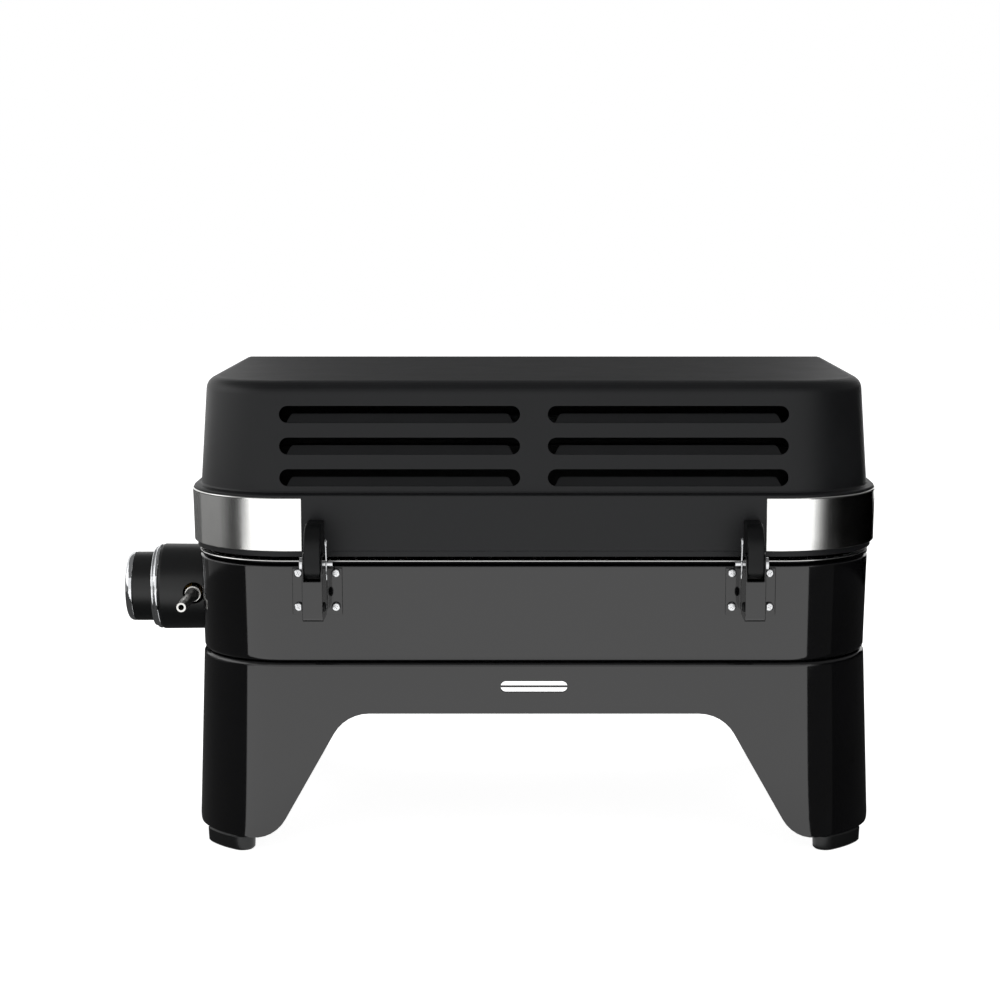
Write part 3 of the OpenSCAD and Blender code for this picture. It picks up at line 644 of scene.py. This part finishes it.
@dataclass
class HingeSet(SubAssembly):
    """Two lift-off hinges: folded bracket, curved arm, pin and spring clip.

    Attributes:
        arm_width: Width of an arm along the pin, in millimetres.
        arm_edge: Radius of an arm's long edges.
        bore: Radius of the pin hole.
        knuckle: Radius of an arm round its pin.
        crown: Radius of an arm's outer bend.
        throat: Radius of an arm's inner bend.
        pad_z: Height of the arm's pad above the pin.
        lean: How far the pad leans with the lid's wall.
        wire: Radius of the clip's wire.
        clip_off: Clip's distance from the hinge's middle, towards the other hinge.
        leg: Depths of the straight leg's end and of its half way point.
        bend: Radius of the clip's bend.
        bend_z: Height of the bend's middle.
        wave: Radius of the other leg's wave round the pin.
        flare: Points of that leg's tip, from the pin.
        lifts: How far each clip stands up.
    """

    worn: dict[str, Slot] = field(default_factory=lambda: {
        "hinge_bracket_left": Slot.ENAMEL, "hinge_bracket_right": Slot.ENAMEL, "hinge_pin_left": Slot.PIN,
        "hinge_pin_right": Slot.PIN, "hinge_rivets": Slot.HINGE, "hinge_screws": Slot.PIN,
        "arm_screws": Slot.ZINC})
    arm_width: float = 13.0
    arm_edge: float = 1.3
    bore: float = 2.06
    knuckle: float = 12.0
    crown: float = 20.0
    throat: float = 8.0
    pad_z: float = 11.0
    lean: float = 0.35
    wire: float = 0.75
    clip_off: float = 10.4
    leg: tuple[float, float] = (17.0, 8.0)
    bend: float = 3.2
    bend_z: float = 13.0
    wave: float = 3.25
    flare: tuple[tuple[float, float], ...] = ((2.3, -4.2), (2.6, -5.4), (3.4, -6.9), (4.4, -8.4))
    lifts: tuple[float, float] = (5.0, 4.0)

    def pin(self, side: str) -> tuple[float, float, float]:
        """Middle of a hinge on its pin.

        Args:
            side: left or right.

        Returns:
            X, Y and Z in millimetres.
        """
        low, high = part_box("hinge_pin_" + side)
        arm_low, arm_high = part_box("hinge_arm_" + side)
        return ((arm_low.x + arm_high.x) / 2 / MM, (low.y + high.y) / 2 / MM, (low.z + high.z) / 2 / MM)

    def arm(self, side: str) -> None:
        """Builds one curved arm with rounded edges and its pin hole.

        Args:
            side: left or right.
        """
        x, y, z = self.pin(side)
        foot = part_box("hinge_arm_" + side)[0].y / MM - y
        outline = [(foot, self.pad_z), (foot + self.lean, self.pad_z + self.crown)]
        outline += arc((self.knuckle - self.crown, self.pad_z), self.crown, 90, 0, steps=18)
        outline += arc((0.0, 0.0), self.knuckle, 0, -180, steps=30)
        outline += arc((-self.knuckle - self.throat, self.pad_z - self.throat), self.throat, 0, 90, steps=10)
        hole = arc((0.0, 0.0), self.bore, 0, 360, steps=16)[:-1]
        shape = bmesh.new()
        at = x - self.arm_width / 2
        loops = []
        for ring in (outline, hole):
            points = [shape.verts.new(Vector((at, y + p[0], z + p[1])) * MM) for p in ring]
            loops.append([shape.edges.new((a, b)) for a, b in zip(points, points[1:] + points[:1])])
        bmesh.ops.triangle_fill(shape, edges=loops[0] + loops[1], use_beauty=True)
        rim = set(loops[0])
        grown = bmesh.ops.extrude_face_region(shape, geom=shape.faces[:])["geom"]
        moved = [g for g in grown if isinstance(g, bmesh.types.BMVert)]
        bmesh.ops.translate(shape, verts=moved, vec=Vector((self.arm_width * MM, 0, 0)))
        bmesh.ops.recalc_face_normals(shape, faces=shape.faces[:])
        middle = Vector((y * MM, z * MM))
        hole_zone, sharp, level = 4 * MM, math.radians(60), 1e-7
        for edge in shape.edges:
            flat = abs(edge.verts[0].co.x - edge.verts[1].co.x) < level
            away = all((Vector((v.co.y, v.co.z)) - middle).length > hole_zone for v in edge.verts)
            if flat and away and edge.calc_face_angle(0.0) > sharp:
                rim.add(edge)
        bmesh.ops.bevel(shape, geom=[e for e in rim if e.is_valid], offset=self.arm_edge * MM, segments=3,
                        profile=0.5, affect="EDGES", clamp_overlap=True)
        made = new_piece("curved_arm_" + side, shape, "lid")
        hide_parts("hinge_arm_" + side)
        self.wardrobe.dress(made, Slot.HINGE)

    def clip(self, side: str, lift: float) -> None:
        """Bends one spring clip: a straight leg through the pin and a waved leg round it.

        Args:
            side: left or right.
            lift: How far the clip stands up, in millimetres.
        """
        x, y, z = self.pin(side)
        plane = x + self.clip_off * (1 if side == "left" else -1)
        top = lift + self.bend_z
        flat = [(0.0, lift - depth) for depth in self.leg] + [(0.0, 0.0), (0.0, top / 2)]
        flat += arc((self.bend, top), self.bend, 180, -50, steps=26)
        flat += arc((0.0, 0.0), self.wave, 50, -50, steps=14)
        flat += self.flare
        path = [Vector((plane, y + p[0], z + p[1])) * MM for p in flat]
        made = new_piece("spring_clip_" + side, tube(path, self.wire * MM), "base", smooth_deg=50.0)
        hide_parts("hinge_clip_" + side)
        self.wardrobe.dress(made, Slot.PIN)

    def build(self) -> None:
        """Builds the arms and clips."""
        for side, lift in zip(("left", "right"), self.lifts):
            self.arm(side)
            self.clip(side, lift)


@dataclass
class LidSet(SubAssembly):
    """Louvred lid with its trim band and buffers."""

    worn: dict[str, Slot] = field(default_factory=lambda: {
        "lid_shell": Slot.LID_PAINT, "lid_trim_band": Slot.TRIM, "lid_bumpers": Slot.RUBBER})


@dataclass
class Handle(SubAssembly):
    """Grip on two posts at the lid's sloped front."""

    worn: dict[str, Slot] = field(default_factory=lambda: {
        "handle_grip": Slot.PLASTIC, "handle_post_left": Slot.CHROME, "handle_post_right": Slot.CHROME,
        "handle_backing_strip": Slot.ZINC, "handle_screws": Slot.ZINC})


@dataclass
class StudioCamera:
    """Camera at the photograph's place.

    Attributes:
        band_back: Metres from the object's middle to the back of its trim band.
        distance: Metres from the back of the trim band to the lens.
        height: Metres above the ground.
        pitch_deg: Downward tilt.
        focal_px: Focal length in pixels of the picture.
        aim_px: Picture column of the object's middle plane.
        size_px: Side of the square picture.
        sensor_mm: Width of the film.
    """

    band_back: float = 0.188
    distance: float = 1.72814
    height: float = 0.52977
    pitch_deg: float = 7.8108
    focal_px: float = 2187.0
    aim_px: float = 534.0
    size_px: float = 1000.0
    sensor_mm: float = 36.0

    def build(self) -> None:
        """Makes the camera and sets it as the scene's active one."""
        data = bpy.data.cameras.new("studio_camera")
        data.sensor_width = self.sensor_mm
        data.lens = self.sensor_mm * self.focal_px / self.size_px
        data.shift_x = -(self.aim_px - self.size_px / 2) / self.size_px
        made = bpy.data.objects.new("studio_camera", data)
        made.location = (0.0, self.band_back + self.distance, self.height)
        made.rotation_euler = (math.radians(90 - self.pitch_deg), 0.0, math.pi)
        bpy.context.scene.collection.objects.link(made)
        bpy.context.scene.camera = made


def mount_card(name: str, shape: bmesh.types.BMesh, tone: str, strength: float = 1.0) -> None:
    """Puts an evenly lit card into the studio for reflections alone.

    Args:
        name: Card name.
        shape: Its geometry; it is freed.
        tone: Its tone, sRGB hex.
        strength: How far it is lit beyond that tone.
    """
    mesh = bpy.data.meshes.new(name)
    shape.to_mesh(mesh)
    shape.free()
    made = bpy.data.objects.new(name, mesh)
    bpy.context.scene.collection.objects.link(made)
    for ray in ("camera", "diffuse", "transmission", "volume_scatter", "shadow"):
        setattr(made, "visible_" + ray, False)
    paper = bpy.data.materials.new(name + "_paper")
    paper.use_nodes = True
    tree = paper.node_tree
    tree.nodes.clear()
    even = add_node(tree, "ShaderNodeEmission", {"Color": linear(tone), "Strength": strength})
    add_node(tree, "ShaderNodeOutputMaterial", None, {"Surface": (even, "Emission")})
    mesh.materials.append(paper)


@dataclass
class Fan:
    """Card on the floor that only reflections see, opening outwards from a corner of the object.

    Attributes:
        name: Card name.
        apex: Where it starts, in metres.
        start_deg: Direction of its first edge, from straight behind the object towards the knob.
        end_deg: Direction of its last edge.
        tone: Its tone, sRGB hex.
        radius: Its length in metres.
    """

    name: str
    apex: tuple[float, float]
    start_deg: float
    end_deg: float
    tone: str
    radius: float = 1.2

    def edge(self, height: float, shape: bmesh.types.BMesh) -> list[bmesh.types.BMVert]:
        """Points along the far edge.

        Args:
            height: Height above the ground in metres.
            shape: Geometry that receives them.

        Returns:
            The points in order.
        """
        swing = self.end_deg - self.start_deg
        turns = [math.radians(self.start_deg + swing * i / CARD_STEPS) for i in range(CARD_STEPS + 1)]
        return [shape.verts.new((self.apex[0] + self.radius * math.sin(t),
                                 self.apex[1] + self.radius * math.cos(t), height)) for t in turns]

    def build(self) -> None:
        """Lays the card down."""
        shape = bmesh.new()
        tip = shape.verts.new((self.apex[0], self.apex[1], CARD_LIFT))
        far = self.edge(CARD_LIFT, shape)
        for a, b in zip(far, far[1:]):
            shape.faces.new((tip, a, b))
        mount_card(self.name, shape, self.tone)


@dataclass
class Wall(Fan):
    """Upright curved card at a fan's far edge.

    Attributes:
        low: Height of its lower edge in metres.
        high: Height of its upper edge in metres.
    """

    low: float = 0.0
    high: float = 0.27

    def build(self) -> None:
        """Stands the card up."""
        shape = bmesh.new()
        foot, top = self.edge(self.low, shape), self.edge(self.high, shape)
        for i in range(len(foot) - 1):
            shape.faces.new((foot[i], foot[i + 1], top[i + 1], top[i]))
        mount_card(self.name, shape, self.tone)


@dataclass
class Panel:
    """Flat card that only reflections see.

    Attributes:
        name: Card name.
        corners: Its corners in metres.
        tone: Its tone, sRGB hex.
        strength: How far it is lit beyond that tone.
    """

    name: str
    corners: tuple[tuple[float, float, float], ...]
    tone: str
    strength: float = 1.0

    def build(self) -> None:
        """Hangs the card."""
        shape = bmesh.new()
        shape.faces.new([shape.verts.new(c) for c in self.corners])
        mount_card(self.name, shape, self.tone, self.strength)


def graded(name: str, apex: tuple[float, float], high: float, steps: tuple[tuple[float, str], ...],
           end_deg: float) -> tuple[Wall, ...]:
    """Row of upright cards whose tones follow each other like a soft shadow.

    Args:
        name: First part of the cards' names.
        apex: Where their fan starts, in metres.
        high: Their height in metres.
        steps: First edge in degrees and tone of each card, in order.
        end_deg: Last edge of the last card.

    Returns:
        The cards.
    """
    ends = [start for start, _ in steps[1:]] + [end_deg]
    return tuple(Wall(f"{name}_{i}", apex, start, end, tone, high=high)
                 for i, ((start, tone), end) in enumerate(zip(steps, ends)))


@dataclass
class Studio:
    """White sweep of floor, soft lamp, pale room and the cards that darken reflections.

    Attributes:
        reach: Half side of the floor, in metres.
        floor_tone: Tone of the floor's paper, sRGB hex.
        floor_glow: How far the floor is lifted towards white where it is seen.
        room_light: Brightness of the room as a light.
        key_place: Where the overhead lamp hangs, in metres.
        key_size: Width and height of its soft box, in metres.
        key_watts: Its power.
        aim: Middle of the object, in metres.
        cards: Cards round the object.
    """

    reach: float = 7.0
    floor_tone: str = "#e4e4e4"
    floor_glow: float = 0.9
    room_light: float = 0.55
    key_place: tuple[float, float, float] = (0.3, -0.9, 1.9)
    key_size: tuple[float, float] = (1.6, 0.9)
    key_watts: float = 9.0
    aim: tuple[float, float, float] = (0.0, 0.0, 0.25)
    cards: tuple[Fan | Panel, ...] = (
        Fan("floor_card_left", LEFT, 57.4, 177.0, "#484848"),
        *graded("soft_card_left", LEFT, 0.27,
                ((46.5, "#f0f0f0"), (49.5, "#d2d2d2"), (52.5, "#b0b0b0"), (55.5, "#8c8c8c"),
                 (58.5, "#6c6c6c"), (61.5, "#4c4c4c"), (64.5, "#303030"), (71.5, "#484848"),
                 (75.5, "#626262"), (80.0, "#787878"), (86.0, "#8c8c8c")), 128.0),
        Wall("far_card_left", LEFT, 128.0, 177.0, "#606060", high=0.2),
        Fan("floor_card_right", RIGHT, -38.8, -75.0, "#484848"),
        Fan("side_floor_card_right", RIGHT, -75.0, -177.0, "#282828"),
        *graded("soft_card_right", RIGHT, 0.5,
                ((-42.0, "#f0f0f0"), (-45.0, "#d4d4d4"), (-48.0, "#a8a8a8"), (-51.5, "#7e7e7e"),
                 (-55.0, "#525252"), (-59.0, "#2c2c2c"), (-64.0, "#141414"), (-70.0, "#060606"),
                 (-77.0, "#000000")), -150.0),
        Wall("upper_card_right", RIGHT, -46.0, -150.0, "#747474", low=0.5, high=1.3),
        Wall("far_card_right", RIGHT, -150.0, -177.0, "#181818", high=0.13),
        Panel("soft_panel_left", ((1.7, -0.4, 0.32), (1.7, 1.0, 0.32), (1.7, 1.0, 1.3), (1.7, -0.4, 1.3)),
              "#ffffff", strength=1.7),
        Panel("front_card", ((-0.5, -1.7, 0.4), (0.5, -1.7, 0.4), (0.5, -1.7, 1.6), (-0.5, -1.7, 1.6)),
              "#5c5c5c"),
        Panel("ceiling_card", ((-3, -3, 2.4), (3, -3, 2.4), (3, 3, 2.4), (-3, 3, 2.4)), "#7c7c7c"))

    def seen(self, tree: bpy.types.NodeTree) -> bpy.types.Node:
        """Finds out whether the camera, a reflection or glass looks.

        Args:
            tree: Node tree that asks.

        Returns:
            A node whose Value is one for those looks.
        """
        path = add_node(tree, "ShaderNodeLightPath")
        first = add_node(tree, "ShaderNodeMath", {"operation": "MAXIMUM"},
                         {0: (path, "Is Camera Ray"), 1: (path, "Is Glossy Ray")})
        return add_node(tree, "ShaderNodeMath", {"operation": "MAXIMUM"},
                        {0: (first, "Value"), 1: (path, "Is Transmission Ray")})

    def floor(self) -> None:
        """Lays the floor, which shows white and keeps the shadow."""
        mesh = bpy.data.meshes.new("studio_floor")
        r = self.reach
        mesh.from_pydata([(-r, -r, 0), (r, -r, 0), (r, r, 0), (-r, r, 0)], [], [(0, 1, 2, 3)])
        made = bpy.data.objects.new("studio_floor", mesh)
        bpy.context.scene.collection.objects.link(made)
        paper = bpy.data.materials.new("white_paper_sweep")
        paper.use_nodes = True
        tree = paper.node_tree
        tree.nodes.clear()
        matt = add_node(tree, "ShaderNodeBsdfDiffuse", {"Color": linear(self.floor_tone)})
        glow = add_node(tree, "ShaderNodeEmission", {"Color": WHITE, "Strength": self.floor_glow})
        lit = add_node(tree, "ShaderNodeAddShader", None, {0: (matt, "BSDF"), 1: (glow, "Emission")})
        mixed = add_node(tree, "ShaderNodeMixShader", None,
                         {0: (self.seen(tree), "Value"), 1: (matt, "BSDF"), 2: (lit, "Shader")})
        add_node(tree, "ShaderNodeOutputMaterial", None, {"Surface": (mixed, "Shader")})
        mesh.materials.append(paper)

    def room(self) -> None:
        """Lights the room evenly and shows it white."""
        world = bpy.data.worlds.new("studio_room")
        bpy.context.scene.world = world
        world.use_nodes = True
        tree = world.node_tree
        tree.nodes.clear()
        level = add_node(tree, "ShaderNodeMapRange", {"To Min": self.room_light, "To Max": 1.0},
                         {"Value": (self.seen(tree), "Value")})
        back = add_node(tree, "ShaderNodeBackground", {"Color": WHITE}, {"Strength": (level, "Result")})
        add_node(tree, "ShaderNodeOutputWorld", None, {"Surface": (back, "Background")})

    def lamp(self, name: str, place: Vector, size: tuple[float, float], watts: float) -> None:
        """Hangs one soft lamp aimed at the middle of the object.

        Args:
            name: Lamp name.
            place: Where it hangs, in metres.
            size: Width and height of the soft box.
            watts: Power.
        """
        data = bpy.data.lights.new(name, "AREA")
        data.shape = "RECTANGLE"
        data.size, data.size_y = size
        data.energy = watts
        made = bpy.data.objects.new(name, data)
        made.location = place
        made.rotation_euler = (Vector(self.aim) - place).to_track_quat("-Z", "Y").to_euler()
        made.visible_glossy = False
        bpy.context.scene.collection.objects.link(made)

    def build(self) -> None:
        """Sets up floor, room, lamp and cards."""
        bpy.context.scene.view_settings.view_transform = "Standard"
        self.floor()
        self.room()
        self.lamp("overhead_softbox", Vector(self.key_place), self.key_size, self.key_watts)
        for card in self.cards:
            card.build()


def main() -> None:
    """Builds the barbecue's sub-assemblies and the studio in order."""
    logging.basicConfig(level=logging.INFO, format="%(message)s")
    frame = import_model()
    wardrobe = Wardrobe()
    wardrobe.cut()
    for kind in (Stand, FireboxSet, GasControl, HingeSet, LidSet, Handle):
        part = kind(frame["nodes"], wardrobe)
        part.build()
        part.dress()
    StudioCamera().build()
    Studio().build()


if __name__ == "__main__":
    main()
